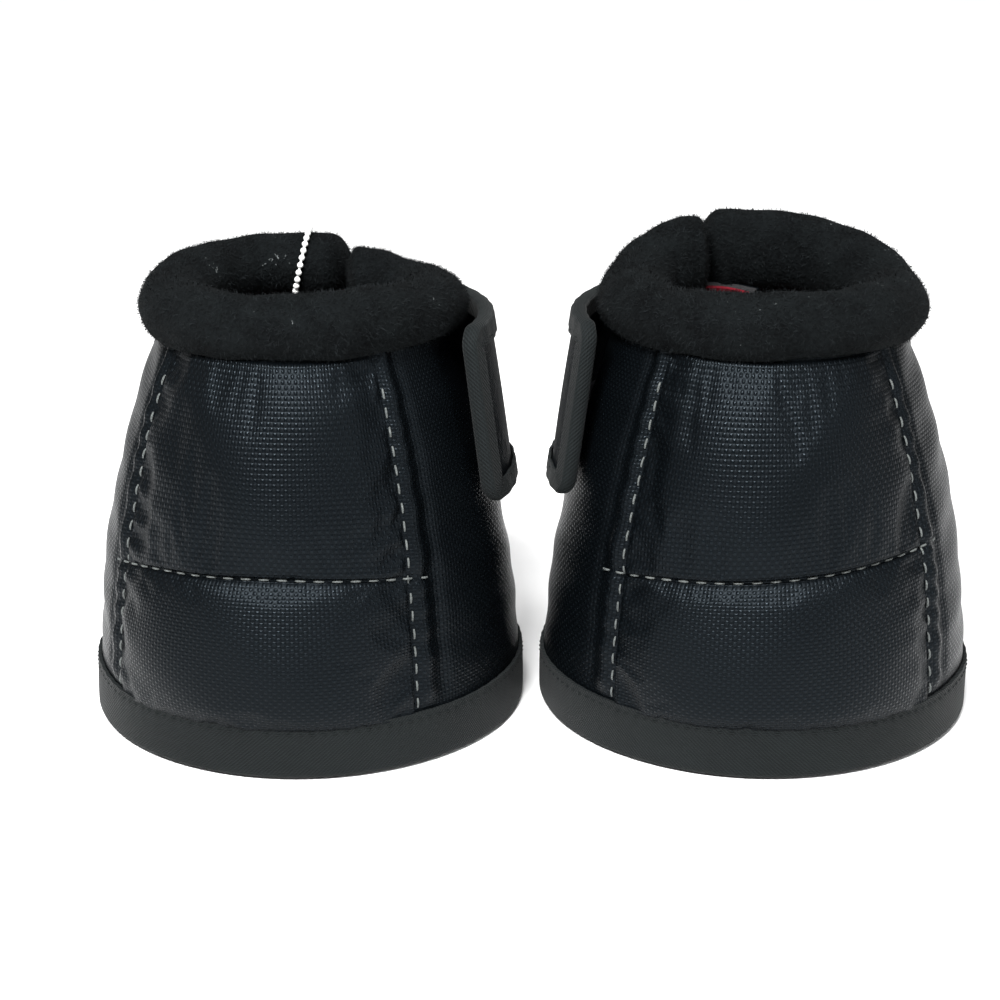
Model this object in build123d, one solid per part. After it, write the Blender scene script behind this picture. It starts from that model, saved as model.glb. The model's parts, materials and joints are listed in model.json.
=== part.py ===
from build123d import *
"""A pair of fleece-topped bell boots, also called overreach boots, for a horse's front hooves.

Each boot is a bell-shaped wrap: a woven nylon shell over a foam wall with a red lining, a rolled fleece
collar round the pastern, a folded tape round the bottom edge, and a quilted strike panel of two foam pads.
The wrap is closed by tucking its inner wing under its outer wing and pressing down a hook-and-loop strap
that starts on the outer wing and lies round the side of the boot. The two boots are mirror images.

Units are millimetres. The frame's origin is on the ground between the boots, +Z is up and -Y is the side of
the strike panels. Each boot is first built about its own vertical axis, in the way the left boot is laid out:
angles run anticlockwise from +X, the strike panel is centred on 270 degrees, and the strap's tip is near 0.
"""

import os
from math import atan, cos, degrees, pi, radians, sin, sqrt

# Bell shape
base_radius = 69.0  # outside of the nylon shell at the ground
neck_radius = 46.5  # outside of the nylon shell where it meets the collar
neck_height = 122.7  # top edge of the wall
flare = 2.1  # power of the curve between them: 1 is a plain cone

# Wall, from outside to inside
shell_thickness = 0.9
padding_thickness = 4.6
lining_thickness = 1.2
layer_gap = 0.2

# Rolled collar
collar_ring_radius = 41.0
collar_half_width = 11.5
collar_half_height = 10.3
collar_seat_gap = 0.3
fleece_thickness = 3.0

# Folded tape round the edges
tape_thickness = 1.1
tape_height = 17.0
end_tape_width = 9.0

# Strike panel
panel_half_angle = 45.0
panel_top_drop = 3.2  # how far the panel stops below the wall's top edge
panel_seam_height = 66.0
panel_seam_width = 2.0
panel_edge_thickness = 1.8
upper_bulge = 3.4
lower_bulge = 4.4
cover_thickness = 0.9

# Thread
stitch_length = 3.4
stitch_pitch = 5.0
thread_radius = 0.35

# How the wrap is divided and closed, in degrees round the boot
fold_gap = 0.4
outer_fold = 180.0
inner_fold = 22.0
outer_wing_end = 80.0
inner_wing_end = 129.0
outer_collar_end = 84.0
inner_collar_end = 102.0
tuck = 0.258 * base_radius  # how far the inner wing's centre is moved towards its fold

# Strap, which lies on the bell at its lower edge and on the collar at its upper edge
strap_root = 149.0
strap_tip = -19.0
strap_low = 74.0
strap_over_collar = 2.7  # how far the strap reaches above the middle of the collar
strap_root_gap = 0.4
strap_tip_gap = 2.9
strap_thickness = 4.2
strap_cover_thickness = 0.9
strap_corner = 6.0
hook_thickness = 1.3
loop_thickness = 1.5
patch_start = 1.0
patch_end = 20.5
patch_low = 84.0
patch_high = 100.0

# Beaded strand of the swing tag, on the left boot only, in degrees round the collar's roll
bead_radius = 1.0
bead_pitch = 2.5
link_radius = 0.4
link_room = 2 * bead_radius + 0.04
chain_angle = 96.0
chain_gap = 0.5
chain_start = 76.0
chain_end = 222.0
chain_slant = 0.22

# The pair as it stands
foot_gap = 5.4  # clear space between the two boots at the ground
left_yaw = -7.0
right_yaw = 1.0
stand_back = 1.6  # centres the pair's outline, straps included, on the origin

front_angle = 270.0
wall_thickness = shell_thickness + padding_thickness + lining_thickness + 2 * layer_gap
wall_foot = tape_thickness + layer_gap
collar_height = neck_height + collar_seat_gap + collar_half_height
boot_spacing = 2 * (base_radius + layer_gap + tape_thickness) + foot_gap
panel_top = neck_height - panel_top_drop
strap_high = collar_height + strap_over_collar
nodes = {}


def shell_radius(z):
    """Outside of the nylon shell at height z."""
    return base_radius - (base_radius - neck_radius) * (z / neck_height) ** flare


def shifted(offset):
    """A radius curve that lies offset outside the shell."""
    return lambda z: shell_radius(z) + offset


def heights(low, high, count=7):
    return [low + (high - low) * i / (count - 1) for i in range(count)]


def wing_centre(inward):
    """The centre of a part of the wrap that is moved inward towards the inner wing's fold."""
    return Pos(inward * cos(radians(inner_fold)), inward * sin(radians(inner_fold)), 0)


def sector(face, start, end, inward=0.0):
    """Turns an upright XZ face about the boot's axis, or about the inner wing's, from start to end degrees."""
    turned = revolve(face, axis=Axis.Z, revolution_arc=end - start)
    return wing_centre(inward) * (Rot(0, 0, start) * turned)


def curved_face(inner, outer, low, high, inward=0.0):
    """The XZ face between two radius curves."""
    inside = Spline(*[(inner(z) - inward, 0, z) for z in heights(low, high)])
    outside = Spline(*[(outer(z) - inward, 0, z) for z in heights(low, high)])
    bottom = Line(inside @ 0, outside @ 0)
    top = Line(inside @ 1, outside @ 1)
    return make_face([inside, top, outside, bottom])


def layer(inner, outer, low, high, start, end, inward=0.0):
    """A curved sheet of the wrap."""
    return sector(curved_face(inner, outer, low, high, inward), start, end, inward)


def wall_layers(start, end, inward=0.0):
    """Shell, padding and lining of one part of the wrap."""
    padding_out = -shell_thickness - layer_gap
    padding_in = padding_out - padding_thickness
    lining_out = padding_in - layer_gap
    bands = {
        "shell": (-shell_thickness, 0.0),
        "padding": (padding_in, padding_out),
        "lining": (lining_out - lining_thickness, lining_out),
    }
    return {
        name: layer(shifted(inside), shifted(outside), wall_foot, neck_height, start, end, inward)
        for name, (inside, outside) in bands.items()
    }


def tape_face(inward):
    """The section of the tape folded round the bottom edge: a U that holds the wall."""
    faces = {
        "outer": layer_gap + tape_thickness,
        "outer_room": layer_gap,
        "inner_room": -wall_thickness - layer_gap,
        "inner": -wall_thickness - layer_gap - tape_thickness,
    }

    def side(name, foot):
        points = [(shell_radius(z) + faces[name] - inward, 0, z) for z in heights(foot, tape_height, 4)]
        return Spline(*points)

    outer, inner = side("outer", 0), side("inner", 0)
    outer_room, inner_room = side("outer_room", tape_thickness), side("inner_room", tape_thickness)
    edges = [
        outer,
        Line(outer @ 1, outer_room @ 1),
        outer_room,
        Line(outer_room @ 0, inner_room @ 0),
        inner_room,
        Line(inner_room @ 1, inner @ 1),
        inner,
        Line(inner @ 0, outer @ 0),
    ]
    return make_face(edges)


def edge_tape(start, end, inward=0.0, bare_end=None):
    """Tape folded round the bottom edge, and up the wing's end where it has one."""
    tape = sector(tape_face(inward), start, end, inward)
    if bare_end is None:
        return tape
    reach = -1 if bare_end == start else 1
    near, far = sorted((bare_end + reach * 0.3, bare_end + reach * 1.6))
    inside = shifted(-wall_thickness - layer_gap - tape_thickness)
    outside = shifted(layer_gap + tape_thickness)
    upright = layer(inside, outside, 0, neck_height - tape_thickness, near, far, inward)
    return Compound([tape, upright])


def roll(shrink, start, end, inward=0.0):
    """A length of the collar roll, made smaller all round by shrink."""
    size = (collar_half_width - shrink, collar_half_height - shrink)
    section = Plane.XZ * Pos(collar_ring_radius - inward, collar_height) * Ellipse(*size)
    return sector(section, start, end, inward)


def collar(start, end, sewn_start=False, sewn_end=False, inward=0.0):
    """The fleece tube, sewn shut at a wing's end, and the foam core inside it."""
    ring = collar_ring_radius - inward
    seam, rest = degrees(fleece_thickness / ring), degrees(layer_gap / ring)
    room = (start + seam if sewn_start else start - 1, end - seam if sewn_end else end + 1)
    filled = (room[0] + rest if sewn_start else start, room[1] - rest if sewn_end else end)
    return {
        "fleece": roll(0, start, end, inward) - roll(fleece_thickness, *room, inward),
        "collar_core": roll(fleece_thickness + layer_gap, *filled, inward),
    }


def padded_curve(low, high, bulge, inset=0.0):
    """Outer radius curve of a pad, thickest at its middle."""

    def curve(z):
        share = min(max((z - low) / (high - low), 0.0), 1.0)
        return shell_radius(z) + panel_edge_thickness + bulge * sin(pi * share) ** 0.7 - inset

    return curve


def strike_panel():
    """Two quilted pads, each a nylon cover over a foam insert, that meet at the panel's cross seam."""
    start, end = front_angle - panel_half_angle, front_angle + panel_half_angle
    half_seam = panel_seam_width / 2
    pads = {
        "panel_upper": (panel_seam_height + half_seam, panel_top, upper_bulge),
        "panel_lower": (tape_height + 0.6, panel_seam_height - half_seam, lower_bulge),
    }
    pieces, foams = {}, []
    for name, (low, high, bulge) in pads.items():
        outside = padded_curve(low, high, bulge)
        underside = padded_curve(low, high, bulge, cover_thickness)
        foam_outside = padded_curve(low, high, bulge, cover_thickness + layer_gap)
        pieces[name] = layer(underside, outside, low, high, start, end)
        foams.append(layer(shifted(layer_gap), foam_outside, low, high, start, end))
    pieces["panel_foam"] = Compound(foams)
    return pieces


def thread_on_shell(angle, z, along_seam):
    """One stitch lying on the shell, up the bell or, along a cross seam, round it."""
    slope = (shell_radius(z - 1) - shell_radius(z + 1)) / 2
    lean = 90 if along_seam else -degrees(atan(slope))
    stitch = Cylinder(thread_radius, stitch_length)
    standing = Rot(90, 0, 0) * stitch if along_seam else Rot(0, lean, 0) * stitch
    radius = shell_radius(z) + layer_gap + thread_radius
    return Rot(0, 0, angle) * Pos(radius, 0, z) * standing


def panel_thread():
    """The stitches down both sides of the strike panel and along its cross seam."""
    stitches = []
    side = panel_half_angle + 1.3
    count = int((panel_top - tape_height - 6) / stitch_pitch)
    for row in (front_angle - side, front_angle + side):
        for i in range(count):
            stitches.append(thread_on_shell(row, tape_height + 5 + i * stitch_pitch, False))
    step = degrees(stitch_pitch / shell_radius(panel_seam_height))
    across = int(panel_half_angle / step)
    for i in range(-across, across + 1):
        stitches.append(thread_on_shell(front_angle + i * step, panel_seam_height, True))
    return Compound(stitches)


def strap_centre():
    """The strap's axis stands towards its tip, so that its gap grows from the root to the tip."""
    turn = radians(strap_root - strap_tip)
    shift = (strap_tip_gap - strap_root_gap) / (1 - cos(turn))
    base_gap = strap_tip_gap - shift
    tip = radians(strap_tip)
    return Pos(shift * cos(tip), shift * sin(tip), 0), base_gap


def strap_curve(offset):
    """A straight line up the strap, offset outside the face that bears on the bell and the collar."""
    base_gap = strap_centre()[1]
    low_radius = shell_radius(strap_low) + base_gap
    high_radius = collar_ring_radius + collar_half_width + base_gap
    slope = (high_radius - low_radius) / (strap_high - strap_low)
    return lambda z: low_radius + slope * (z - strap_low) + offset


def strap_layer(inside, outside, low, high, start, end, corner=0.0):
    """A sheet of the strap, with its two corners at the tip rounded."""
    inner, outer = strap_curve(inside), strap_curve(outside)
    corners = [(inner(low), low), (outer(low), low), (outer(high), high), (inner(high), high)]
    face = make_face(Plane.XZ * Polyline(*corners, close=True))
    sheet = Rot(0, 0, start) * revolve(face, axis=Axis.Z, revolution_arc=end - start)
    for height, side in ((low, 1), (high, -1)):
        if corner > 0:
            at_tip = Rot(0, 0, start) * Pos((inner(height) + outer(height)) / 2, 0, height)
            middle = Pos(0, corner, side * corner)
            waste = middle * (Pos(0, -corner, -side * corner) * Box(30, 2 * corner, 2 * corner))
            keep = middle * (Rot(0, 90, 0) * Cylinder(corner, 40))
            sheet = sheet - at_tip * (waste - keep)
    return strap_centre()[0] * sheet


def strap_angle(width):
    """The turn that a width takes up at the strap's lower edge."""
    return degrees(width / strap_curve(0)(strap_low))


def loop_patch():
    """Loop pile sewn on the side of the shell, where the strap's hook tape lands."""
    outside = shifted(layer_gap + loop_thickness)
    return layer(shifted(layer_gap), outside, patch_low, patch_high, patch_start, patch_end)


def strap():
    """The closure strap: cover, webbing core, folded edge tape and the hook tape inside it."""
    low, high = strap_low + tape_thickness, strap_high - tape_thickness
    tip = strap_tip + strap_angle(tape_thickness)
    inner_tip = tip + strap_angle(layer_gap)
    inner_low, inner_high = low + layer_gap, high - layer_gap
    inner_corner = strap_corner - tape_thickness - layer_gap
    cover_outside = strap_thickness - tape_thickness
    cover_inside = cover_outside - strap_cover_thickness
    core_outside = cover_inside - layer_gap
    pieces = {
        "strap_cover": strap_layer(
            cover_inside, cover_outside, inner_low, inner_high, inner_tip, strap_root, inner_corner
        ),
        "strap_core": strap_layer(
            tape_thickness + layer_gap, core_outside, inner_low, inner_high, inner_tip, strap_root, inner_corner
        ),
    }
    whole = strap_layer(0, strap_thickness, strap_low, strap_high, strap_tip, strap_root, strap_corner)
    room = strap_layer(
        tape_thickness,
        cover_outside + layer_gap,
        low,
        high,
        tip,
        strap_root + 1,
        strap_corner - tape_thickness,
    )
    window = strap_layer(
        -1,
        strap_thickness + 1,
        strap_low + end_tape_width,
        strap_high - end_tape_width,
        strap_tip + strap_angle(end_tape_width),
        strap_root + 1,
    )
    pieces["strap_tape"] = whole - room - window
    pieces["hook_patch"] = strap_layer(
        -hook_thickness, tape_thickness - layer_gap, patch_low, patch_high, patch_start, patch_end
    )
    return pieces


def tag_chain():
    """The beaded strand of the swing tag, sewn into the collar's seams and lying over the roll's inner side."""
    wide = collar_half_width + bead_radius + chain_gap
    high = collar_half_height + bead_radius + chain_gap
    step = degrees(bead_pitch / sqrt((wide**2 + high**2) / 2))
    count = int((chain_end - chain_start) / step)
    beads = []
    for i in range(count + 1):
        turn = radians(chain_start + i * step)
        aside = chain_slant * high * (1 - sin(turn))
        radius = collar_ring_radius + wide * cos(turn)
        beads.append(Pos(radius, aside, collar_height + high * sin(turn)) * Sphere(bead_radius))
    centres = [bead.center() for bead in beads]
    links = []
    for a, b in zip(centres, centres[1:]):
        reach = (b - a).length
        links.append(Plane(origin=a, z_dir=b - a) * Pos(0, 0, reach / 2) * Cylinder(link_radius, reach - link_room))
    return {"tag_chain": Rot(0, 0, chain_angle) * Compound(beads + links)}


def boot():
    """Every piece of one boot, by name."""
    pieces = {}

    def add(part, made):
        for name, solid in made.items():
            pieces[f"{part}_{name}"] = solid

    front = (outer_fold + fold_gap, 360 + inner_fold - fold_gap)
    outer = (outer_wing_end, outer_fold - fold_gap)
    inner = (inner_fold + fold_gap, inner_wing_end)
    add("front", wall_layers(*front))
    add("front", collar(*front))
    pieces["front_tape"] = edge_tape(*front)
    add("outer_wing", wall_layers(*outer))
    add("outer_wing", collar(outer_collar_end, outer[1], sewn_start=True))
    pieces["outer_wing_tape"] = edge_tape(*outer, 0, outer_wing_end)
    add("inner_wing", wall_layers(*inner, tuck))
    add("inner_wing", collar(inner[0], inner_collar_end, sewn_end=True, inward=tuck))
    pieces["inner_wing_tape"] = edge_tape(*inner, tuck, inner_wing_end)
    pieces.update(strike_panel())
    pieces["panel_thread"] = panel_thread()
    pieces["loop_patch"] = loop_patch()
    pieces.update(strap())
    return pieces


def stand_left(solid):
    return Pos(-boot_spacing / 2, stand_back, 0) * (Rot(0, 0, left_yaw) * solid)


def stand_right(solid):
    return Pos(boot_spacing / 2, stand_back, 0) * (Rot(0, 0, right_yaw) * mirror(solid, about=Plane.YZ))


for name, solid in boot().items():
    nodes["left_" + name] = stand_left(solid)
    nodes["right_" + name] = stand_right(solid)
for name, solid in tag_chain().items():
    nodes[name] = stand_left(solid)

os.makedirs("parts", exist_ok=True)
for name, solid in nodes.items():
    export_step(solid, f"parts/{name}.step")
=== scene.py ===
# %% [markdown]
# # A pair of fleece-collared bell boots
# A bell boot wraps a horse's hoof. Its wall is a sandwich: woven nylon outside, foam in the middle and a red
# brushed lining inside. The CAD frame already holds the sizes and the joints, so this lesson dresses that
# frame: every piece is a sheet that starts flat, as cloth does, and is then wrapped round the bell.

# %% Load the frame
import json
from math import atan2, cos, degrees, pi, radians, sin

import bpy
import numpy as np
from mathutils import Matrix, Vector


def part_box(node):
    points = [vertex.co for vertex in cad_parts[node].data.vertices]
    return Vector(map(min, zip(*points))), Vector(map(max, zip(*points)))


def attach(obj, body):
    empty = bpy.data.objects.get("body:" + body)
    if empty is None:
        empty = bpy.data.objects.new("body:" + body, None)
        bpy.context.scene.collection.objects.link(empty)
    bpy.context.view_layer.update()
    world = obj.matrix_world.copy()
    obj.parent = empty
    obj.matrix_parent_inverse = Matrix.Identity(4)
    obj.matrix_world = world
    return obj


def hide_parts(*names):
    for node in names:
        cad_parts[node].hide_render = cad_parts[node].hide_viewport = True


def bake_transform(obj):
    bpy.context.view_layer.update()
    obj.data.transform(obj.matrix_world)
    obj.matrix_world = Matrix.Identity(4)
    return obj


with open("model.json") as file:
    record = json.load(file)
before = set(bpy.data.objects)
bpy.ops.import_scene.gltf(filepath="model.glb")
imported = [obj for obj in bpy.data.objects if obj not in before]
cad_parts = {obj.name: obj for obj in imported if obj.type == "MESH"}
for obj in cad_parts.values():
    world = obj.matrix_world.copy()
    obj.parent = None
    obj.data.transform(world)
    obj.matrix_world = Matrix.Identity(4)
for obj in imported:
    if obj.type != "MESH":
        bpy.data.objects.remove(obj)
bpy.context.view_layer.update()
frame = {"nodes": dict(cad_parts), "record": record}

record = frame["record"]
mounts = {mount["name"]: mount for mount in record["mounts"]}
joints = {joint["name"]: joint for joint in record["behaviour"]["joints"]}
print("nodes in the frame:", len(frame["nodes"]))

# %% [markdown]
# ## Where each boot stands
# The two boots mirror each other, so each piece is made once in one boot's own frame, in metres, and then
# placed. Angles run anticlockwise from +X in degrees, and 270 degrees is the middle of the strike panel.

# %% Read the places from the frame
sides = ("left", "right")
fold_of_inner_wing = 22.0
placing = {}
for side in sides:
    centre = Vector(mounts[side + "_pastern_opening"]["pos_m"])
    centre.z = 0
    fold = Vector(joints[side + "_outer_wing_open"]["pos_m"]) - centre
    turn = atan2(fold.y, fold.x) - (pi if side == "left" else 0)
    mirror = Matrix.Scale(-1, 4, Vector((1, 0, 0))) if side == "right" else Matrix.Identity(4)
    placing[side] = Matrix.Translation(centre) @ Matrix.Rotation(turn, 4, "Z") @ mirror
    print(side, "stands at", tuple(round(c, 4) for c in centre), "turned", round(degrees(turn), 1))

# %% [markdown]
# ## The sizes that the cloth follows
# Heights come from the frame's own boxes, and radii and thicknesses repeat the frame's layers. The wall's top
# edge goes a little way into the fleece, where it would be sewn.

# %% Sizes of the bell, the wall and the collar
mm = 0.001
base_radius = 69 * mm
neck_radius = 46.5 * mm
neck_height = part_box("left_front_shell")[1][2]
flare = 2.1
shell_thickness, foam_thickness, lining_thickness, layer_gap = 0.9 * mm, 4.6 * mm, 1.2 * mm, 0.2 * mm
wall_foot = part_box("left_front_shell")[0][2]
wall_top = neck_height + 2.6 * mm  # the wall's top edge is sewn into the fleece
tape_thickness = 1.1 * mm
tape_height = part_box("left_front_tape")[1][2]
collar_low, collar_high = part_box("left_front_fleece")[0][2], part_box("left_front_fleece")[1][2]
collar_height = (collar_low + collar_high) / 2
collar_half_height = (collar_high - collar_low) / 2
collar_ring, collar_half_width = 41 * mm, 11.5 * mm
panel_middle = 270.0
panel_edges = {"left": (270 - 47.0, 270 + 39.5), "right": (270 - 45.0, 270 + 45.0)}
outer_wing_end, inner_wing_end = 80.0, 360 + 129.0
tuck = 17.8 * mm  # how far the inner wing's centre is moved towards its fold
print("wall", round(neck_height, 4), "m tall, collar centre at", round(collar_height, 4))

# %% [markdown]
# ## The bell as a formula
# Cloth pieces follow one curve: wide at the ground and drawn in to the neck. The inner wing turns about a
# centre that is moved towards its fold, which carries its end inside the outer wing, as on the real wrap.
# The right boot's neck stands a little higher at the back than the left one's.

# %% Helpers that lay points on the bell
def bell_radius(z):
    return base_radius - (base_radius - neck_radius) * (np.clip(z, 0, None) / neck_height) ** flare


def on_wrap(angle, radius):
    """Plan position of points at an angle and a radius, with the inner wing's centre moved."""
    angle = np.asarray(angle, float)
    fold = radians(fold_of_inner_wing)
    tucked = angle > 360 + fold_of_inner_wing
    reach = np.where(tucked, radius - tuck, radius)
    turned = np.radians(angle)
    x = reach * np.cos(turned) + np.where(tucked, tuck * cos(fold), 0)
    y = reach * np.sin(turned) + np.where(tucked, tuck * sin(fold), 0)
    return x, y


def neck_rise(side, angle, z):
    """The right neck stands higher at the back, and the left one lies lower behind its strap."""
    turned = np.radians(angle)
    if side == "right":
        rise = 4.5 * mm * np.clip(np.sin(turned), 0, 1)
    else:
        rise = -3.0 * mm * np.clip(np.sin(turned + radians(35)), 0, 1) ** 2 * (np.asarray(angle) > 270)
    return rise * (np.clip(z / collar_height, 0, 1.1)) ** 3


def slack(side, angle, z):
    """The small unevenness of a foam wall that has been rolled and stored."""
    phase = 0.0 if side == "left" else 2.1
    turned = np.radians(angle)
    waves = 0.5 * np.sin(3 * turned + 40 * z + phase)
    waves = waves + 0.35 * np.sin(7 * turned - 65 * z + 2 * phase)
    waves = waves + 0.25 * np.sin(11 * turned + 150 * z + 3 * phase)
    worn_in = 0.7 * mm * waves * np.clip(z / 0.03, 0, 1)
    outer_front = np.clip(np.cos(turned - radians(205)), 0, 1) ** 2
    return worn_in - outer_front * (2.0 * mm + 1.6 * mm * np.clip(z / neck_height, 0, 1) ** 3)


# %% [markdown]
# ## From a flat grid to a wrapped sheet
# Cloth is cut flat, so each sheet starts as Blender's grid primitive, which brings a UV map with it. The
# grid's points are then moved on to the bell, and the UV map is scaled to metres, so that a weave drawn on it
# has the right size everywhere.

# %% Helper that makes a wrapped sheet
def deselect():
    if bpy.context.object and bpy.context.object.mode != "OBJECT":
        bpy.ops.object.mode_set(mode="OBJECT")
    bpy.ops.object.select_all(action="DESELECT")


def wrapped_sheet(name, columns, rows, shape, cut_size):
    """A grid whose points shape(u, v) moves into place, with a UV map of cut_size metres."""
    deselect()
    bpy.ops.mesh.primitive_grid_add(x_subdivisions=columns, y_subdivisions=rows, size=1)
    piece = bpy.context.object
    piece.name = piece.data.name = name
    flat = np.empty(len(piece.data.vertices) * 3)
    piece.data.vertices.foreach_get("co", flat)
    flat = flat.reshape(-1, 3)
    points = np.stack(shape(flat[:, 0] + 0.5, flat[:, 1] + 0.5), axis=1)
    piece.data.vertices.foreach_set("co", points.ravel())
    layer = piece.data.uv_layers.active.data
    uv = np.empty(len(layer) * 2)
    layer.foreach_get("uv", uv)
    uv = uv.reshape(-1, 2) * np.array(cut_size)
    layer.foreach_set("uv", uv.ravel())
    piece.data.update()
    return piece


def thicken(piece, thickness, offset=-1.0):
    deselect()
    piece.select_set(True)
    bpy.context.view_layer.objects.active = piece
    wall = piece.modifiers.new("Thickness", "SOLIDIFY")
    wall.thickness = thickness
    wall.offset = offset
    bpy.ops.object.modifier_apply(modifier=wall.name)
    return piece


def edit_all(piece, *operators):
    """Runs edit-mode operators on the whole of a piece."""
    deselect()
    piece.select_set(True)
    bpy.context.view_layer.objects.active = piece
    bpy.ops.object.mode_set(mode="EDIT")
    bpy.ops.mesh.select_all(action="SELECT")
    for operator, settings in operators:
        operator(**settings)
    bpy.ops.object.mode_set(mode="OBJECT")
    return piece


def join(pieces, name):
    deselect()
    for piece in pieces:
        piece.select_set(True)
    bpy.context.view_layer.objects.active = pieces[0]
    bpy.ops.object.join()
    whole = bpy.context.object
    whole.name = whole.data.name = name
    return whole


def stand(piece, side, smooth=60):
    """Moves a finished piece from the boot's own frame to where that boot stands."""
    piece.data.transform(placing[side])
    if side == "right":
        edit_all(piece, (bpy.ops.mesh.flip_normals, {}))
    deselect()
    piece.select_set(True)
    bpy.context.view_layer.objects.active = piece
    bpy.ops.object.shade_smooth_by_angle(angle=radians(smooth))
    return piece


def bend_at_fold(piece):
    """Bakes a piece's transform into its mesh."""
    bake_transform(piece)


# %% [markdown]
# ## Finishes
# Each finish is a small node tree. Patterns read the piece's own UV map, which is in metres, so a yarn is as
# wide on the strap as it is on the bell.

# %% Helpers for node trees
def new_finish(name, colour, roughness, **sockets):
    finish = bpy.data.materials.new(name)
    finish.use_nodes = True
    shader = finish.node_tree.nodes["Principled BSDF"]
    shader.inputs["Base Color"].default_value = (*colour, 1)
    shader.inputs["Roughness"].default_value = roughness
    for socket, value in sockets.items():
        shader.inputs[socket.replace("_", " ")].default_value = value
    return finish, finish.node_tree, shader


def calc(tree, operation, first, second=None):
    node = tree.nodes.new("ShaderNodeMath")
    node.operation = operation
    for socket, value in zip(node.inputs, (first, second)):
        if isinstance(value, (int, float)):
            socket.default_value = value
        elif value is not None:
            tree.links.new(value, socket)
    return node.outputs[0]


def cut_axes(tree):
    """The two directions of the cut cloth, in metres."""
    place = tree.nodes.new("ShaderNodeTexCoord")
    split = tree.nodes.new("ShaderNodeSeparateXYZ")
    tree.links.new(place.outputs["UV"], split.inputs[0])
    return split.outputs[0], split.outputs[1]


def cloud(tree, scale, detail=3.0, source="Object"):
    place = tree.nodes.new("ShaderNodeTexCoord")
    texture = tree.nodes.new("ShaderNodeTexNoise")
    texture.inputs["Scale"].default_value = scale
    texture.inputs["Detail"].default_value = detail
    tree.links.new(place.outputs[source], texture.inputs["Vector"])
    return texture.outputs["Fac"]


def ramp(tree, factor, stops):
    node = tree.nodes.new("ShaderNodeValToRGB")
    node.color_ramp.elements[0].position, node.color_ramp.elements[1].position = stops[0][0], stops[-1][0]
    node.color_ramp.elements[0].color = (*stops[0][1], 1)
    node.color_ramp.elements[1].color = (*stops[-1][1], 1)
    for position, colour in stops[1:-1]:
        node.color_ramp.elements.new(position).color = (*colour, 1)
    tree.links.new(factor, node.inputs[0])
    return node.outputs[0]


def raise_surface(tree, shader, height, distance, strength=1.0):
    bump = tree.nodes.new("ShaderNodeBump")
    bump.inputs["Distance"].default_value = distance
    bump.inputs["Strength"].default_value = strength
    tree.links.new(height, bump.inputs["Height"])
    tree.links.new(bump.outputs[0], shader.inputs["Normal"])


# %% [markdown]
# ### Basket-woven nylon
# Thick yarns pass over and under each other, so the face is a chequer of little domes. Multiplying two sine
# waves gives that chequer: its positive domes are warp yarns, which are glossier and catch the light, and its
# negative ones are weft yarns, which lie lower and keep the dark base colour. The warp domes are also painted
# lighter in the base colour, a painted highlight that stands in for their glinting dots.

# %% Nylon
def woven_nylon(name, yarn, dark, light, roughness):
    finish, tree, shader = new_finish(name, dark, roughness, Specular_IOR_Level=0.1)
    shader.inputs["Specular Tint"].default_value = (0.72, 0.87, 1, 1)
    u, v = cut_axes(tree)
    drift = calc(tree, "MULTIPLY", calc(tree, "SUBTRACT", cloud(tree, 9, 2), 0.5), 3.0)
    across = calc(tree, "SINE", calc(tree, "ADD", calc(tree, "MULTIPLY", u, pi / yarn), drift))
    along = calc(tree, "SINE", calc(tree, "MULTIPLY", v, pi / yarn))
    chequer = calc(tree, "MULTIPLY", across, along)
    dome = calc(tree, "POWER", calc(tree, "ABSOLUTE", chequer), 0.7)
    warp = calc(tree, "MAXIMUM", chequer, 0.0)
    height = calc(tree, "ADD", calc(tree, "MULTIPLY", dome, 0.55), calc(tree, "MULTIPLY", warp, 0.6))
    wear = cloud(tree, 14, 4)
    # Painted highlight: the warp domes get a lighter base colour in place of their glints, and a random cloud
    # varies the tone
    shade = calc(tree, "MULTIPLY", calc(tree, "ADD", calc(tree, "MULTIPLY", warp, 0.8), 0.12), wear)
    colour = ramp(tree, shade, [(0.0, dark), (0.6, light)])
    tree.links.new(colour, shader.inputs["Base Color"])
    gloss = calc(tree, "SUBTRACT", roughness + 0.2, calc(tree, "MULTIPLY", warp, 0.26))
    tree.links.new(calc(tree, "ADD", gloss, calc(tree, "MULTIPLY", wear, 0.08)), shader.inputs["Roughness"])
    raise_surface(tree, shader, height, 0.15 * mm, 0.9)
    return finish


nylon = woven_nylon("ballistic_nylon", 1.16 * mm, (0.0004, 0.0006, 0.0008), (0.003, 0.0043, 0.0055), 0.2)
strap_nylon = woven_nylon("strap_nylon", 0.7 * mm, (0.0006, 0.0008, 0.001), (0.004, 0.005, 0.006), 0.5)
print("nylon finishes ready")

# %% [markdown]
# ### Twill tape, fleece, lining, foam, thread and plastics
# Twill has slanting ribs. Fleece has no pattern, only pile that scatters light softly, so it gets a rough
# surface, a sheen and flecks of pale lint. The lining is a brushed red knit.

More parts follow.
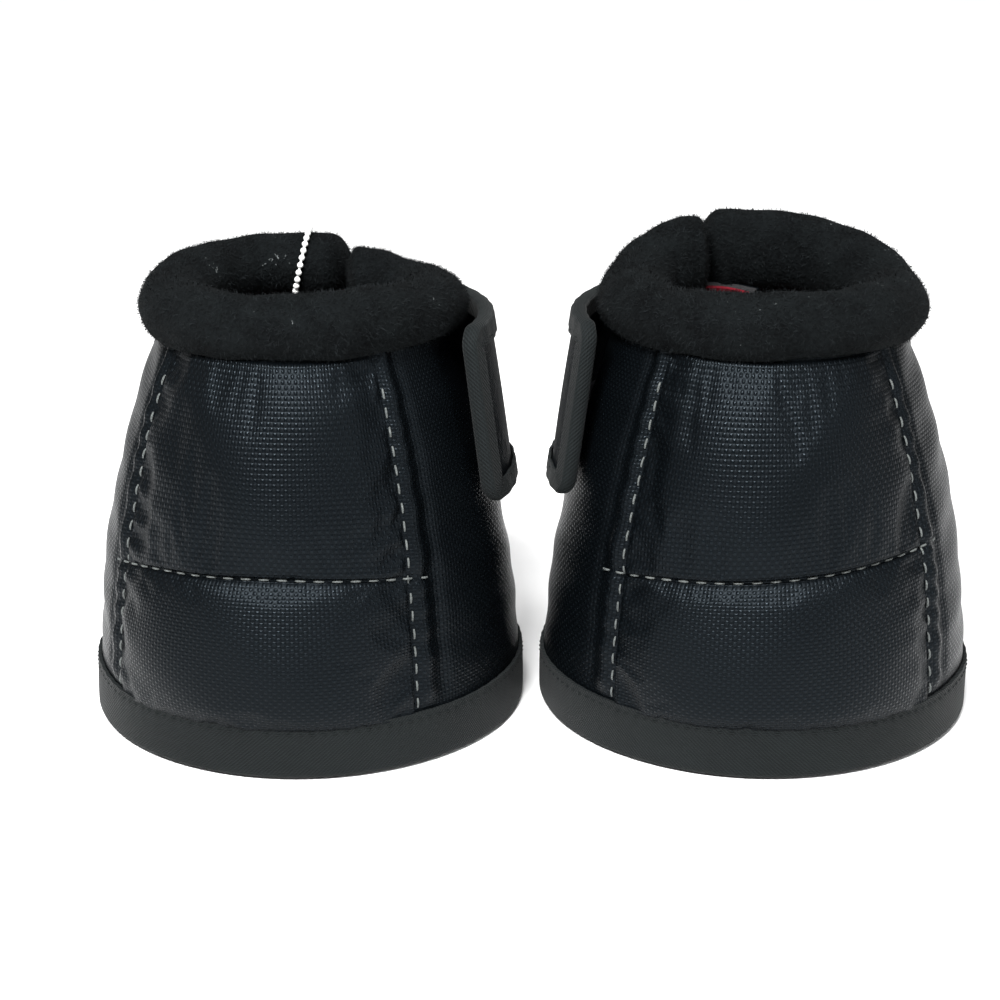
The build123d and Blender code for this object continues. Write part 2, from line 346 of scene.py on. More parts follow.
# %% The other finishes
def twill_tape():
    dark, light = (0.0016, 0.0024, 0.0026), (0.006, 0.0086, 0.009)
    finish, tree, shader = new_finish("binding_tape", dark, 0.75, Specular_IOR_Level=0.12, Sheen_Weight=0.03)
    u, v = cut_axes(tree)
    around = calc(tree, "MULTIPLY", u, 2 * pi / (1.25 * mm))
    slant = calc(tree, "ADD", around, calc(tree, "MULTIPLY", v, 5200))
    rib = calc(tree, "MULTIPLY", calc(tree, "ADD", calc(tree, "SINE", slant), 1.0), 0.5)
    pick = calc(tree, "SINE", calc(tree, "MULTIPLY", v, 2 * pi / (0.7 * mm)))
    height = calc(tree, "ADD", rib, calc(tree, "MULTIPLY", pick, 0.2))
    wear = calc(tree, "MULTIPLY", cloud(tree, 60, 4), 0.4)
    shade = calc(tree, "ADD", calc(tree, "MULTIPLY", height, 0.5), wear)
    tree.links.new(ramp(tree, shade, [(0.15, dark), (0.85, light)]), shader.inputs["Base Color"])
    raise_surface(tree, shader, height, 0.22 * mm, 0.7)
    return finish


def brushed(name, dark, light, scale, depth, sheen, fleck=None):
    finish, tree, shader = new_finish(name, dark, 0.95, Specular_IOR_Level=0.05, Sheen_Weight=sheen)
    shader.inputs["Sheen Roughness"].default_value = 0.45
    shader.inputs["Sheen Tint"].default_value = (*[min(1, c * 14 + 0.1) for c in light], 1)
    pile = cloud(tree, scale, 5)
    clumps = cloud(tree, scale / 9, 3)
    height = calc(tree, "ADD", pile, calc(tree, "MULTIPLY", clumps, 0.8))
    shade = calc(tree, "MULTIPLY", calc(tree, "ADD", pile, clumps), 0.5)
    stops = [(0.35, dark), (0.62, light)]
    if fleck:
        stops = [(0.35, dark), (0.62, light), (0.675, light), (0.69, fleck)]
    tree.links.new(ramp(tree, shade, stops), shader.inputs["Base Color"])
    raise_surface(tree, shader, height, depth, 0.9)
    return finish


def grained(name, dark, light, roughness, scale, depth, specular=0.4):
    finish, tree, shader = new_finish(name, dark, roughness, Specular_IOR_Level=specular)
    grain = cloud(tree, scale, 6)
    tree.links.new(ramp(tree, grain, [(0.3, dark), (0.7, light)]), shader.inputs["Base Color"])
    raise_surface(tree, shader, grain, depth, 0.6)
    return finish


tape_cloth = twill_tape()
lint = (0.1, 0.11, 0.11)
fleece = brushed("fleece", (0.0008, 0.001, 0.0012), (0.0038, 0.0048, 0.0052), 900, 0.9 * mm, 0.03, lint)
pile_tip = (0.0085, 0.0105, 0.0115)
pile_fibre = grained("fleece_pile", (0.0013, 0.0016, 0.0018), pile_tip, 0.9, 260, 0.01 * mm, 0.1)
red_lining = brushed("red_lining", (0.022, 0.001, 0.002), (0.11, 0.005, 0.01), 700, 0.7 * mm, 0.25)
foam = grained("wall_foam", (0.006, 0.006, 0.0065), (0.018, 0.018, 0.019), 0.9, 1400, 0.12 * mm, 0.2)
thread_finish = grained("thread", (0.035, 0.039, 0.039), (0.12, 0.13, 0.126), 0.7, 2600, 0.05 * mm, 0.2)
loop_pile = brushed("loop_tape", (0.004, 0.004, 0.0045), (0.02, 0.02, 0.022), 1500, 0.5 * mm, 0.1)
hooks = grained("hook_tape", (0.006, 0.006, 0.007), (0.03, 0.03, 0.033), 0.5, 2400, 0.35 * mm)
tag_plastic = grained("tag_plastic", (0.74, 0.76, 0.75), (0.9, 0.9, 0.88), 0.3, 500, 0.02 * mm, 0.5)
floor_finish = grained("pale_floor", (0.86, 0.86, 0.86), (0.9, 0.9, 0.9), 0.9, 30, 0.01 * mm, 0.1)
print("finishes:", len(bpy.data.materials))

# %% [markdown]
# ## The camera
# The pair is seen from the strike panels and a little above, from about three quarters of a metre.

# %% Camera
camera_data = bpy.data.cameras.new("view")
camera_data.lens, camera_data.sensor_width = 84.7, 36
camera = bpy.data.objects.new("view", camera_data)
bpy.context.scene.collection.objects.link(camera)
camera.location = (-0.0102, -0.7115, 0.311)
camera.rotation_euler = (radians(90 - 19), 0, 0)
bpy.context.scene.camera = camera
bpy.context.scene.view_settings.view_transform = "Standard"
print("camera at", tuple(camera.location))

# %% [markdown]
# ## The wall
# Nylon, foam and lining are three sheets on the same curve. The cloth is one piece from the panel to each
# wing's end, so each half runs on across its fold. Beside the panel the nylon puffs out in a narrow band
# where it is stitched down, and a short dart carries the cross seam on to the side.

# %% The shell's relief
seam_height = 62 * mm


def beside_panel(side, angle):
    """Degrees outside the panel's nearer edge; negative inside it."""
    start, end = panel_edges[side]
    angle = np.asarray(angle, float)
    return np.maximum(start - angle, angle - end)


def seam_line(side, angle):
    """Height of the cross seam: it droops at both ends on the left boot and slants on the right one."""
    outward = (panel_middle - np.asarray(angle, float)) / 45
    if side == "left":
        return seam_height - 3.7 * mm * outward**2
    return seam_height - 0.5 * mm * outward**2 + 3.5 * mm * outward


def shell_relief(side, angle, z):
    outside = beside_panel(side, angle)
    puff = 1.9 * mm * np.exp(-(((outside - 4.2) / 2.5) ** 2))
    near_seam = np.exp(-(((outside - 5.5) / 5) ** 2))
    puckers = 0.35 * mm * np.sin(z / (1.5 * mm) + 2.2 * np.sin(z * 130)) * near_seam
    dart = np.exp(-(((z - seam_line(side, angle)) / (1.6 * mm)) ** 2)) * np.clip((14 - outside) / 8, 0, 1)
    crease = 0.9 * mm * np.exp(-(((outside - 9.5) / 1.6) ** 2))
    below = np.where(outside > 0, puff + puckers - crease - 1.3 * mm * dart, 0)
    ripple = 0.22 * mm * np.sin(z / (2.6 * mm) + np.radians(angle) * 5) * np.clip(outside / 20, 0, 1)
    relief = (below + ripple) * np.clip((z - tape_height) / (6 * mm), 0, 1)
    return np.maximum(relief, -0.85 * mm)  # the nylon never sinks into the foam behind it


wing_angles = {"outer_wing": (outer_wing_end, panel_middle), "inner_wing": (panel_middle, inner_wing_end)}


def wall_sheet(side, wing, layer, offset, thickness, columns, rows, relief=None):
    start, end = wing_angles[wing]

    def shape(u, v):
        angle, z = start + (end - start) * u, wall_foot + (wall_top - wall_foot) * v
        radius = bell_radius(z) + offset + slack(side, angle, z)
        radius = radius + (relief(side, angle, z) if relief else 0)
        x, y = on_wrap(angle, radius)
        return x, y, z + neck_rise(side, angle, z)

    cut = (radians(end - start) * 60 * mm, neck_height * 1.02)
    sheet = wrapped_sheet(f"{side}_{layer}_{wing}", columns, rows, shape, cut)
    return stand(thicken(sheet, thickness), side)


# %% [markdown]
# ### Three layers, two halves
# Each layer is the same sheet at another depth, made thick with the Solidify modifier. The foam can't be seen
# when the boot is closed, but it shows at the cut edges as soon as a wing opens.

# %% Make the shell, the foam and the lining
foam_offset = -shell_thickness - layer_gap
lining_offset = foam_offset - foam_thickness - layer_gap
wall_layers = {
    "shell": (0.0, shell_thickness, nylon, "ballistic_nylon"),
    "padding": (foam_offset, foam_thickness, foam, "wall_foam"),
    "lining": (lining_offset, lining_thickness, red_lining, "red_lining"),
}
for side in sides:
    for wing in wing_angles:
        for layer, (offset, thickness, finish, slot) in wall_layers.items():
            relief = shell_relief if layer == "shell" else None
            columns, rows = (150, 90) if layer == "shell" else (80, 30)
            sheet = wall_sheet(side, wing, layer, offset, thickness, columns, rows, relief)
            sheet.data.materials.clear()
            sheet.data.materials.append(finish)
            bend_at_fold(sheet)
            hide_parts(f"{side}_front_{layer}", f"{side}_{wing}_{layer}")
print("wall sheets made")

# %% [markdown]
# ## The quilted strike pads
# Each pad is a nylon cover sewn down all round over a foam insert. Cloth simulation gives it its crown: the
# cover starts a little too large for its place, is pinned along its seams, and is blown out by a light
# pressure. The puckers along the side seams are added afterwards, because the thread gathers the cloth there.

# %% Pad helpers
def pad_sheet(side, name, low, high, crown, columns, rows):
    start, end = panel_edges[side]

    def shape(u, v):
        angle = start + (end - start) * u
        bottom = low(angle) if callable(low) else low
        top = high(angle) if callable(high) else high
        z = bottom + (top - bottom) * v
        rise = (np.sin(pi * u) * np.sin(pi * v)).clip(0, 1) ** 0.45
        x, y = on_wrap(angle, bell_radius(z) + slack(side, angle, z) + 0.55 * mm + crown * rise)
        return x, y, z

    cut = (radians(end - start) * 62 * mm, 50 * mm)
    return wrapped_sheet(f"{side}_{name}_cover", columns, rows, shape, cut)


def blow_up(pad, pressure, growth, cap):
    """Inflates a pad that is pinned along its border, and applies the result."""
    before = np.empty(len(pad.data.vertices) * 3)
    pad.data.vertices.foreach_get("co", before)
    before = before.reshape(-1, 3)
    edge_use = {}
    for face in pad.data.polygons:
        for key in face.edge_keys:
            edge_use[key] = edge_use.get(key, 0) + 1
    border = sorted({v for key, count in edge_use.items() if count == 1 for v in key})
    pad.vertex_groups.new(name="seam").add(border, 1.0, "REPLACE")
    cloth = pad.modifiers.new("Cloth", "CLOTH")
    cloth.settings.vertex_group_mass = "seam"
    cloth.settings.quality = 6
    cloth.settings.mass = 0.25
    cloth.settings.tension_stiffness = cloth.settings.compression_stiffness = 25
    cloth.settings.bending_stiffness = 0.6
    cloth.settings.use_pressure = True
    cloth.settings.uniform_pressure_force = pressure
    cloth.settings.shrink_min = -growth
    cloth.settings.effector_weights.gravity = 0
    cloth.collision_settings.use_self_collision = False
    for step in range(1, 21):
        bpy.context.scene.frame_set(step)
    deselect()
    pad.select_set(True)
    bpy.context.view_layer.objects.active = pad
    bpy.ops.object.modifier_apply(modifier=cloth.name)
    bpy.context.scene.frame_set(1)
    after = np.empty(len(pad.data.vertices) * 3)
    pad.data.vertices.foreach_get("co", after)
    move = after.reshape(-1, 3) - before
    far = np.linalg.norm(move, axis=1, keepdims=True)
    move *= np.minimum(1, cap / np.maximum(far, 1e-9))
    pad.data.vertices.foreach_set("co", (before + move).ravel())
    pad.vertex_groups.clear()
    print(pad.name, "moved by up to", round(float(far.max()) / mm, 1), "mm, kept to", cap / mm)


def pucker(pad, side, depth, low, high):
    """Gathers the cloth along the pad's two side seams."""
    start, end = panel_edges[side]
    for vertex in pad.data.vertices:
        x, y, z = vertex.co
        angle = degrees(atan2(y, x)) % 360
        inside = radians(min(angle - start, end - angle)) * bell_radius(z)
        share = np.exp(-max(inside, 0) / (6 * mm)) * min(1, max(inside, 0) / (1.5 * mm))
        wave = sin(z / (1.9 * mm) + 2.5 * sin(z * 95 + (0 if side == "left" else 1.7)) + inside / (7 * mm))
        edge = min(1, (z - low) / (6 * mm), (high - z) / (6 * mm))
        push = depth * share * wave * max(edge, 0)
        vertex.co.x += cos(radians(angle)) * push
        vertex.co.y += sin(radians(angle)) * push


# %% [markdown]
# ### Two pads for each boot
# The upper pad reaches up under the collar and the lower one goes down behind the tape.

# %% Make the pads
pad_top = neck_height + 1.6 * mm
pad_foot = tape_height - 1.5 * mm
for side in sides:
    pads = {
        "panel_upper": (lambda a: seam_line(side, a) + 0.5 * mm, pad_top, 3.8 * mm, 1.5, 0.008, 2.2 * mm),
        "panel_lower": (pad_foot, lambda a: seam_line(side, a) - 0.5 * mm, 4.4 * mm, 1.5, 0.01, 2.2 * mm),
    }
    for name, (low, high, crown, pressure, growth, cap) in pads.items():
        pad = pad_sheet(side, name, low, high, crown, 84, 56)
        blow_up(pad, pressure, growth, cap)
        pucker(pad, side, 1.15 * mm if side == "left" else 0.6 * mm, pad_foot, pad_top)
        thicken(pad, 0.9 * mm)
        stand(pad, side)
        pad.data.materials.clear()
        pad.data.materials.append(nylon)
        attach(pad, side + "_boot")
        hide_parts(f"{side}_{name}", f"{side}_panel_foam")
print("pads made")

# %% [markdown]
# ## Edge tape
# The tape is folded over the bottom edge and stitched through. Its section is a U, so the grid's second
# direction runs down the outside, round the edge and up the inside. The wings' ends are bound the same way.

# %% Helper for the U-shaped fold
wall_depth = shell_thickness + foam_thickness + lining_thickness + 2 * layer_gap
outer_face, inner_face = layer_gap + tape_thickness, -wall_depth - layer_gap - tape_thickness


def fold_round(v, width, rounding=2.4 * mm):
    """Distance in from the edge and offset from the shell, along a U of the given width."""
    middle, half = (outer_face + inner_face) / 2, (outer_face - inner_face) / 2
    flat = width - rounding
    bend = pi * 0.5 * (rounding + half)
    length = 2 * flat + bend
    run = v * length
    turn = np.clip((run - flat) / bend, 0, 1) * pi
    inward = np.where(run < flat, width - run, np.where(run > flat + bend, rounding + run - flat - bend, 0))
    inward = np.where((run >= flat) & (run <= flat + bend), rounding * (1 - np.sin(turn) ** 0.8), inward)
    offset = middle + half * np.sign(np.cos(turn)) * np.abs(np.cos(turn)) ** 0.6
    return inward, offset


def bottom_tape(side, wing):
    start, end = wing_angles[wing]

    def shape(u, v):
        angle = start + (end - start) * u
        rise, offset = fold_round(v, tape_height)
        pinch = 0.1 * mm * np.sin(np.radians(angle) * 70) * np.clip(rise / tape_height, 0, 1) ** 4
        x, y = on_wrap(angle, bell_radius(rise) + offset + pinch + slack(side, angle, rise))
        return x, y, rise

    cut = (radians(end - start) * base_radius, 2 * tape_height + 9 * mm)
    return thicken(wrapped_sheet(f"{side}_tape_{wing}", 180, 40, shape, cut), tape_thickness, 1.0)


def end_tape(side, wing):
    """The bound edge of a wing's end, from the bottom tape to the collar."""
    end = outer_wing_end if wing == "outer_wing" else inner_wing_end
    sense = 1 if wing == "outer_wing" else -1
    width = 9 * mm

    def shape(u, v):
        z = tape_thickness + (neck_height - 2 * tape_thickness) * v
        inward, offset = fold_round(u if sense < 0 else 1 - u, width)
        radius = bell_radius(z)
        angle = end + sense * np.degrees((inward - 2.2 * mm) / (radius * 0.93))
        x, y = on_wrap(angle, radius + offset + slack(side, angle, z))
        return x, y, z + neck_rise(side, angle, z)

    cut = (2 * width + 9 * mm, neck_height)
    return thicken(wrapped_sheet(f"{side}_end_tape_{wing}", 30, 60, shape, cut), tape_thickness)


# %% [markdown]
# ### Tape all the way round
# The bottom tape runs in one piece from the panel to each wing's end. The upright tape lies wholly on its
# wing, so it rides there.

# %% Make the tapes
for side in sides:
    for wing in wing_angles:
        tape = bottom_tape(side, wing)
        stand(tape, side)
        bend_at_fold(tape)
        binding = end_tape(side, wing)
        stand(binding, side)
        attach(binding, f"{side}_{wing}")
        for piece in (tape, binding):
            piece.data.materials.clear()
            piece.data.materials.append(tape_cloth)
        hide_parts(f"{side}_front_tape", f"{side}_{wing}_tape")
print("tapes made")

# %% [markdown]
# ## The fleece collar
# The collar is a foam roll in a fleece tube. A grid wrapped twice, once round the pastern and once round the
# roll, gives the tube; its free end is drawn in to a dome. Thousands of short fibres then stand on it, each
# only two faces, because the soft outline of fleece comes from the pile itself.

# %% Helper for one length of roll
extra_height = {"left": 0.4 * mm, "right": 3.6 * mm}  # the roll is taller at the back
collar_ends = {"left": (78.0, 360 + 106.0), "right": (66.0, 360 + 93.0)}


def roll_sheet(side, wing):
    outer_end, inner_end = collar_ends[side]
    start, end = (outer_end, panel_middle) if wing == "outer_wing" else (panel_middle, inner_end)
    phase = 0.4 if side == "left" else 1.9

    def shape(u, v):
        angle, turn = start + (end - start) * u, 2 * pi * v
        to_end = (u if wing == "outer_wing" else 1 - u) * radians(end - start) * collar_ring
        dome = np.sqrt(np.clip(1 - (1 - np.clip(to_end / (7 * mm), 0, 1)) ** 2, 0.0004, 1))
        round_neck = np.radians(angle)
        lumps = 0.975 + 0.03 * np.sin(round_neck * 5 + phase)
        lumps = lumps + 0.02 * np.sin(round_neck * 9 + turn + phase)
        lumps = lumps + 0.012 * np.sin(round_neck * 17 - 2 * turn)
        taller = extra_height[side] * np.clip(np.sin(np.radians(angle)), 0, 1)
        wide, high = collar_half_width * lumps * dome, (collar_half_height * lumps + taller) * dome
        ring = collar_ring - 2.6 * mm * np.clip(np.cos(np.radians(angle - 205)), 0, 1)
        radius = ring + wide * np.cos(turn)
        z = collar_height + high * np.sin(turn) + neck_rise(side, angle, collar_height)
        sag = -0.9 * mm * (1 + np.sin(np.radians(angle) * 2 + phase))
        x, y = on_wrap(angle, radius)
        return x, y, z + sag

    cut = (radians(end - start) * collar_ring, 2 * pi * collar_half_width)
    roll = wrapped_sheet(f"{side}_fleece_{wing}", 130, 48, shape, cut)
    merge = (bpy.ops.mesh.remove_doubles, {"threshold": 0.00001})
    return edit_all(roll, merge, (bpy.ops.mesh.fill_holes, {"sides": 0}))


def pile(body, name, count, seed):
    """Short fibres that lean every way from the surface of a body."""
    rng = np.random.default_rng(seed)
    mesh = body.data
    mesh.calc_loop_triangles()
    corners = np.array([t.vertices[:] for t in mesh.loop_triangles])
    points = np.array([v.co[:] for v in mesh.vertices])
    a, b, c = (points[corners[:, i]] for i in range(3))
    normal = np.cross(b - a, c - a)
    area = np.linalg.norm(normal, axis=1)
    pick = rng.choice(len(corners), count, p=area / area.sum())
    s, t = rng.random((2, count, 1))
    s, t = np.where(s + t > 1, 1 - s, s), np.where(s + t > 1, 1 - t, t)
    root = a[pick] + s * (b - a)[pick] + t * (c - a)[pick]
    normal = normal[pick] / np.maximum(area[pick, None], 1e-12)
    lean = np.cross(normal, rng.normal(size=(count, 3)))
    lean /= np.linalg.norm(lean, axis=1, keepdims=True)
    beside = np.cross(normal, lean)
    length = rng.uniform(0.9, 2.0, (count, 1)) * mm
    width = 0.07 * mm
    knee = root + length * (0.42 * lean + 0.35 * normal)
    tip = root + length * (0.9 * lean + rng.uniform(0.25, 0.75, (count, 1)) * normal)
    root = root - 0.2 * mm * normal
    beside = width * beside
    made = np.stack([root - beside, root + beside, knee + beside, knee - beside, tip], 1)
    base = np.arange(count)[:, None] * 5
    faces = (base + [0, 1, 2, 3]).tolist() + (base + [3, 2, 4]).tolist()
    fibres = bpy.data.meshes.new(name)
    fibres.from_pydata(made.reshape(-1, 3).tolist(), [], faces)
    fibres.uv_layers.new(name=mesh.uv_layers.active.name)
    piece = bpy.data.objects.new(name, fibres)
    bpy.context.scene.collection.objects.link(piece)
    return piece


# %% [markdown]
# ### A roll with its pile
# Roll and fibres are joined into one piece, so that the pile follows the fleece when a wing opens. Each boot
# has its own seed, so that no two collars are alike.

# %% Make the collars
for side in sides:
    for wing in wing_angles:
        roll = roll_sheet(side, wing)
        fibres = pile(roll, "pile", 11000 if wing == "inner_wing" else 9000, 7 if side == "left" else 11)
        fibres.data.materials.append(pile_fibre)
        roll.data.materials.clear()
        roll.data.materials.append(fleece)
        collar = join([roll, fibres], f"{side}_fleece_{wing}")
        stand(collar, side)
        bend_at_fold(collar)
        nodes = [f"{side}_{part}_{layer}" for part in ("front", wing) for layer in ("fleece", "collar_core")]
        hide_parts(*nodes)
print("collars made")

# %% [markdown]
# ## The closure strap
# The strap is stiff webbing in a nylon cover, bound with twill tape. It lies on the bell at its lower edge
# and reaches out to clear the collar at its upper edge. Its tip has rounded corners.

# %% Strap surface
strap_root, strap_tip = 149.0, -19.0
strap_low, strap_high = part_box("left_strap_tape")[0][2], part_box("left_strap_tape")[1][2]
strap_cut = 7.5 * mm  # the cloth strap is cut a little lower than the frame's, clear of the roll's crown
strap_thickness = 4.2 * mm
tip_gap, root_gap = 2.9 * mm, 0.4 * mm
strap_shift = (tip_gap - root_gap) / (1 - cos(radians(strap_root - strap_tip)))
strap_gap = tip_gap - strap_shift
strap_radius = float(bell_radius(strap_low)) + strap_gap
strap_slope = (collar_ring + collar_half_width + strap_gap - strap_radius) / (strap_high - strap_low)
strap_length = radians(strap_root - strap_tip) * strap_radius


def on_strap(along, z, offset):
    """A point a distance along the strap from its tip, at a height, and offset from its inner face."""
    angle = np.radians(strap_tip) + along / strap_radius
    radius = strap_radius + strap_slope * (z - strap_low) + offset
    x = radius * np.cos(angle) + strap_shift * cos(radians(strap_tip))
    y = radius * np.sin(angle) + strap_shift * sin(radians(strap_tip))
    return x, y, z + 0 * x


strap_width = strap_high - strap_low - strap_cut
corner, hem = 6 * mm, 6.5 * mm


def strap_outline(t):
    """Distance along and height of the strap's edge, and the way in from it, for t from 0 to 1."""
    straight, side_run, arc = strap_length - corner, strap_width - 2 * corner, corner * pi / 2
    around_tip = 2 * straight + side_run + 2 * arc
    total = around_tip + strap_width
    run = t * total
    along, height = np.zeros_like(run), np.zeros_like(run)
    way = np.zeros((len(run), 2))
    first = run < straight
    along[first], height[first], way[first] = strap_length - run[first], 0, (0, 1)
    arcs = ((straight, pi / 2, corner), (straight + arc + side_run, 0.0, strap_width - corner))
    for begin, opening, level in arcs:
        on_arc = (run >= begin) & (run < begin + arc)
        turn = (run[on_arc] - begin) / corner
        heading = -pi / 2 - turn if opening else pi - turn
        along[on_arc] = corner + corner * np.cos(heading)
        height[on_arc] = level + corner * np.sin(heading)
        way[on_arc] = np.stack([-np.cos(heading), -np.sin(heading)], 1)
    upright = (run >= straight + arc) & (run < straight + arc + side_run)
    along[upright], height[upright], way[upright] = 0, corner + run[upright] - straight - arc, (1, 0)
    last = (run >= straight + 2 * arc + side_run) & (run < around_tip)
    along[last] = corner + run[last] - straight - 2 * arc - side_run
    height[last], way[last] = strap_width, (0, -1)
    root = run >= around_tip
    along[root], height[root], way[root] = strap_length, strap_width - (run[root] - around_tip), (-1, 0)
    return along, strap_low + height, way


def strap_binding(side):
    def shape(u, v):
        along, height, way = strap_outline(u)
        half = strap_thickness / 2
        turn = np.clip((v - 0.35) / 0.3, 0, 1) * pi
        inward = np.where(v < 0.35, hem * (1 - v / 0.35), np.where(v > 0.65, hem * (v - 0.65) / 0.35, 0))
        inward = np.maximum(inward, 0.9 * mm * (1 - np.sin(turn)))
        offset = half - half * np.cos(turn)
        wave = 0.15 * mm * np.sin(along / (1.4 * mm))
        x, y, z = on_strap(along + way[:, 0] * inward, height + way[:, 1] * inward, offset + wave)
        return x, y, z

    cut = (2 * strap_length + strap_width, 2 * hem + strap_thickness)
    return wrapped_sheet(f"{side}_strap_binding", 240, 24, shape, cut)


def strap_body(side):
    def shape(u, v):
        along = 1.2 * mm + (strap_length - 1.2 * mm) * u
        z = strap_low + 1.2 * mm + (strap_width - 2.4 * mm) * v
        near_tip = np.clip(1 - along / (5 * mm), 0, 1) ** 2
        z = z + (strap_low + strap_width / 2 - z) * 0.1 * near_tip
        swell = 0.5 * mm * np.sin(pi * v) ** 0.5 + 0.2 * mm * np.sin(along / (9 * mm)) * np.sin(pi * v)
        return on_strap(along, z, strap_thickness - 1.2 * mm + swell)

    body = wrapped_sheet(f"{side}_strap", 150, 30, shape, (strap_length, strap_width))
    return thicken(body, strap_thickness - 2.6 * mm)


def strap_hem_places():
    """Stitch places all round the strap, just inside its binding's edge."""
    along, height, way = strap_outline(np.linspace(0.004, 0.996, 150))
    along, height = along + way[:, 0] * (hem - 1.4 * mm), height + way[:, 1] * (hem - 1.4 * mm)
    points = np.stack(on_strap(along, height, strap_thickness + 0.25 * mm), axis=1)
    outward = points * np.array([1, 1, 0]) - np.array([strap_shift, 0, 0])
    return [(points[i], points[i + 1] - points[i], outward[i]) for i in range(len(points) - 1)]


# %% [markdown]
# ### Cover and binding
# The strap's cover and its folded binding are separate pieces on the strap's own body, so both peel with it.

# %% Make the straps
for side in sides:
    cover, binding = strap_body(side), strap_binding(side)
    edit_all(binding, (bpy.ops.mesh.normals_make_consistent, {"inside": False}))
    thicken(binding, 0.8 * mm, 0.0)
    parts = ((cover, strap_nylon, "ballistic_nylon"), (binding, tape_cloth, "binding_tape"))
    for piece, finish, slot in parts:
        stand(piece, side)
        piece.data.materials.clear()
        piece.data.materials.append(finish)
        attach(piece, side + "_strap")
    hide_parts(side + "_strap_cover", side + "_strap_core")
    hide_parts(side + "_strap_tape")
print("straps made, each", round(strap_length, 3), "m long")

# %% [markdown]
# ## Stitches
# One stitch is modelled and copied: a short run of thick thread whose ends dive into the cloth. A cylinder is
# added, its middle ring is lifted and its ends are drawn down, which gives the arched look of a tight stitch.

# %% One stitch
def stitch_points(length, radius):
    """Vertices and faces of one arched stitch, lying along X and standing on Z = 0."""
    deselect()
    bpy.ops.mesh.primitive_cylinder_add(vertices=6, radius=radius, depth=length, rotation=(0, pi / 2, 0))
    stitch = bpy.context.object
    bpy.ops.object.transform_apply(location=False, rotation=True, scale=False)
    bpy.ops.object.mode_set(mode="EDIT")
    bpy.ops.mesh.select_all(action="SELECT")
    bpy.ops.mesh.bisect(plane_co=(length / 5, 0, 0), plane_no=(1, 0, 0))
    bpy.ops.mesh.select_all(action="SELECT")
    bpy.ops.mesh.bisect(plane_co=(-length / 5, 0, 0), plane_no=(1, 0, 0))
    bpy.ops.object.mode_set(mode="OBJECT")
    points = np.array([v.co[:] for v in stitch.data.vertices])
    arch = 1 - (np.abs(points[:, 0]) / (length / 2)) ** 2
    points[:, 2] += (arch - 0.6) * radius * 1.5
    points[:, 1:] *= 0.7 + 0.3 * arch[:, None]
    faces = [tuple(face.vertices) for face in stitch.data.polygons]
    bpy.data.objects.remove(stitch, do_unlink=True)
    return points, faces


def stitch_row(name, places, length, radius):
    """Copies of the stitch at places, each a position, a heading and an outward direction."""
    points, faces = stitch_points(length, radius)
    every, all_faces = [], []
    for position, heading, outward in places:
        heading, outward = Vector(heading).normalized(), Vector(outward).normalized()
        basis = Matrix((heading, outward.cross(heading), outward)).transposed()
        start = len(every)
        every += [basis @ Vector(point) + Vector(position) for point in points]
        all_faces += [tuple(start + corner_index for corner_index in face) for face in faces]
    mesh = bpy.data.meshes.new(name)
    mesh.from_pydata(every, [], all_faces)
    piece = bpy.data.objects.new(name, mesh)
    bpy.context.scene.collection.objects.link(piece)
    piece.data.materials.append(thread_finish)
    return piece


def surface_place(side, angle, z, lift, along_angle, relief=None):
    """Where a stitch lies on the shell, heading round the bell or up it."""
    def at(a, h):
        radius = bell_radius(h) + slack(side, a, h) + lift + (relief(side, a, h) if relief else 0)
        x, y = on_wrap(a, radius)
        return np.array([float(x), float(y), float(h + neck_rise(side, a, h))])

    here = at(angle, z)
    round_bell = at(angle + 0.5, z) - here
    up_bell = at(angle, z + 0.4 * mm) - here
    outward = np.cross(round_bell, up_bell)
    heading = up_bell
    if along_angle:
        rise = float(seam_line(side, angle + 0.5) - seam_line(side, angle))
        heading = at(angle + 0.5, z + rise) - here
    return here, heading, outward


# %% [markdown]
# ### Rows of stitches
# A row is a list of places: a point, the way the seam runs and the way out of the cloth. Long grey stitches
# hold the panel, and short dark ones hold the tape and the strap's binding.

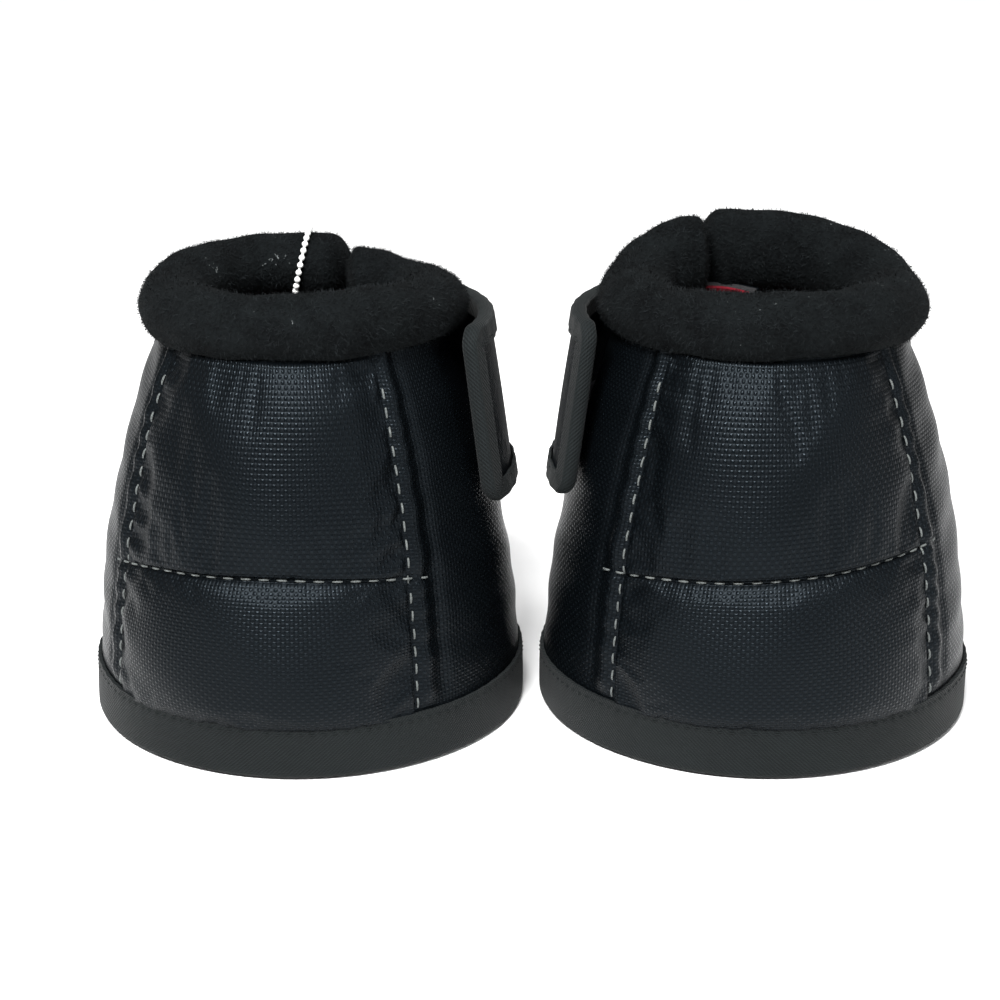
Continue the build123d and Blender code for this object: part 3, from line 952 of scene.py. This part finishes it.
# %% Make the stitches
for side in sides:
    strap_thread = stitch_row(side + "_strap_stitches", strap_hem_places(), 1.9 * mm, 0.24 * mm)
    strap_thread.data.materials.clear()
    strap_thread.data.materials.append(tape_cloth)
    stand(strap_thread, side)
    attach(strap_thread, side + "_strap")
stitch_length, stitch_pitch, thread_radius = 3.1 * mm, 5.5 * mm, 0.36 * mm
for side in sides:
    places = []
    for edge, sense in zip(panel_edges[side], (-1, 1)):
        steps = int((pad_top - tape_height - 3 * mm) / stitch_pitch)
        for i in range(steps):
            z = tape_height + 3 * mm + i * stitch_pitch
            angle = edge + sense * 0.9
            places.append(surface_place(side, angle, z, 0.5 * mm, False, shell_relief))
    across = degrees(stitch_pitch / float(bell_radius(seam_height)))
    first, last = panel_edges[side][0] - 7, panel_edges[side][1] + 7
    for i in range(int((last - first) / across) + 1):
        angle = first + i * across
        places.append(surface_place(side, angle, float(seam_line(side, angle)), 0.35 * mm, True))
    thread = stitch_row(side + "_panel_stitches", places, stitch_length, thread_radius)
    stand(thread, side)
    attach(thread, side + "_boot")
    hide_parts(side + "_panel_thread")
    for wing, (start, end) in wing_angles.items():
        step = degrees(3.4 * mm / base_radius)
        rows = [start + 1 + i * step for i in range(int((end - start - 2) / step))]
        places = [surface_place(side, angle, tape_height - 2 * mm, outer_face, True) for angle in rows]
        hem_thread = stitch_row(f"{side}_tape_stitches_{wing}", places, 2.2 * mm, 0.26 * mm)
        hem_thread.data.materials.clear()
        hem_thread.data.materials.append(tape_cloth)
        stand(hem_thread, side)
        bend_at_fold(hem_thread)
print("stitches made")

# %% [markdown]
# ## The frame's own pieces that show
# The hook and loop patches and the tag's beaded strand already have their real shape in the frame, so they
# only get a finish.

# %% Finishes for the frame's pieces
for node, finish in [(f"{side}_loop_patch", loop_pile) for side in sides] + [
    (f"{side}_hook_patch", hooks) for side in sides
] + [("tag_chain", tag_plastic)]:
    carried = bpy.data.objects[node]
    carried.data.materials.clear()
    carried.data.materials.append(finish)
    print(node, "keeps its shape and takes", finish.name)

# %% [markdown]
# ## Floor and light
# A pale floor under soft daylight, as in a small studio. A long lamp above and in front draws the gloss along
# the tops of the pads, and a small one at the side picks out the seams.

# %% Floor, lamps and sky
deselect()
bpy.ops.mesh.primitive_plane_add(size=12, location=(0, 0, -0.0002))
floor = bpy.context.object
floor.name = "floor"
floor.data.materials.append(floor_finish)


def lamp(name, place, aim, size, power):
    data = bpy.data.lights.new(name, "AREA")
    data.shape, data.size, data.size_y, data.energy = "RECTANGLE", size[0], size[1], power
    made = bpy.data.objects.new(name, data)
    bpy.context.scene.collection.objects.link(made)
    made.location = place
    made.rotation_euler = (Vector(aim) - Vector(place)).to_track_quat("-Z", "Y").to_euler()


lamp("key", (-0.35, -1.0, 1.25), (0, 0, 0.1), (0.6, 0.16), 60)
lamp("side", (1.1, -0.7, 0.7), (0, 0, 0.08), (0.3, 0.6), 5)
daylight = bpy.data.lights.new("daylight", "SUN")
daylight.energy, daylight.angle = 2.1, radians(30)
sun = bpy.data.objects.new("daylight", daylight)
sun.rotation_euler = (radians(12), 0, 0)
bpy.context.scene.collection.objects.link(sun)
world = bpy.data.worlds.new("studio")
bpy.context.scene.world = world
world.use_nodes = True
world.node_tree.nodes["Background"].inputs["Color"].default_value = (1, 1, 1, 1)
world.node_tree.nodes["Background"].inputs["Strength"].default_value = 0.3
